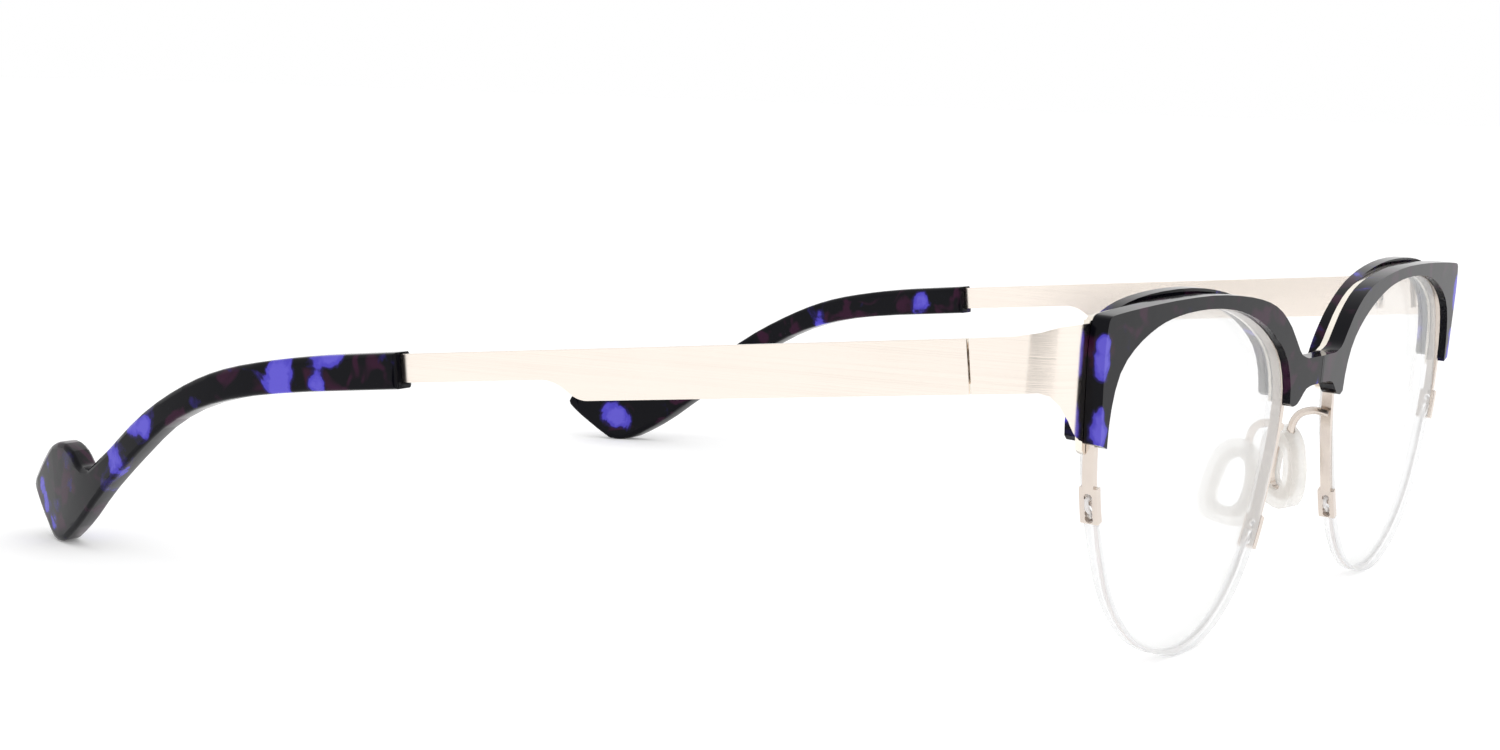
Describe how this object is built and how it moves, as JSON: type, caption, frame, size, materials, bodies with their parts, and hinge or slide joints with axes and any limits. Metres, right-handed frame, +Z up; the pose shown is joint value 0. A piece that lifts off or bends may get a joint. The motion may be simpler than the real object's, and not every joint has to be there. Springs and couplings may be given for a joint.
{
  "type": "half rim eyeglasses",
  "caption": "Half rim eyeglasses: layered acetate and steel brow, lenses hung on nylon cords, slip-on nose pads and folding flat steel temples with hooked acetate tips.",
  "frame": {"origin": "middle of the footprint, on the surface that the open glasses stand on with their lens edges and tips", "axes": "+Z up, the glasses look along -Y, the temples run back along +Y, +X is the wearer's left"},
  "size_m": [0.1522, 0.1586, 0.0424],
  "materials": {
    "acetate": "polished dark blue tortoise acetate",
    "steel": "warm silver, brushed lengthwise",
    "lens": "clear, coated",
    "silicone": "clear silicone",
    "nylon": "clear nylon monofilament"
  },
  "bodies": {
    "front": {"front_brow": "acetate", "chassis": "steel", "left_rear_brow": "acetate", "right_rear_brow": "acetate", "left_eyewire": "steel", "right_eyewire": "steel", "left_lens": "lens", "right_lens": "lens", "left_nylon_cord": "nylon", "right_nylon_cord": "nylon", "left_temporal_brow_screw": "steel", "left_nasal_brow_screw": "steel", "right_temporal_brow_screw": "steel", "right_nasal_brow_screw": "steel", "left_pad_arm": "steel", "right_pad_arm": "steel", "left_nose_pad": "silicone", "right_nose_pad": "silicone", "left_hinge_front_leaf": "steel", "right_hinge_front_leaf": "steel", "left_hinge_screw": "steel", "right_hinge_screw": "steel"},
    "left_temple": {"left_hinge_temple_leaf": "steel", "left_temple_strip": "steel", "left_temple_tip": "acetate"},
    "right_temple": {"right_hinge_temple_leaf": "steel", "right_temple_strip": "steel", "right_temple_tip": "acetate"}
  },
  "joints": [
    {"name": "left_temple_fold", "type": "hinge", "parent": "front", "child": "left_temple", "pos_m": [0.06491, -0.06375, 0.0379], "axis": [0, 0.0986, 0.9951], "range_deg": [0, 94]},
    {"name": "right_temple_fold", "type": "hinge", "parent": "front", "child": "right_temple", "pos_m": [-0.06491, -0.06375, 0.0379], "axis": [0, -0.0986, -0.9951], "range_deg": [0, 86]}
  ]
}
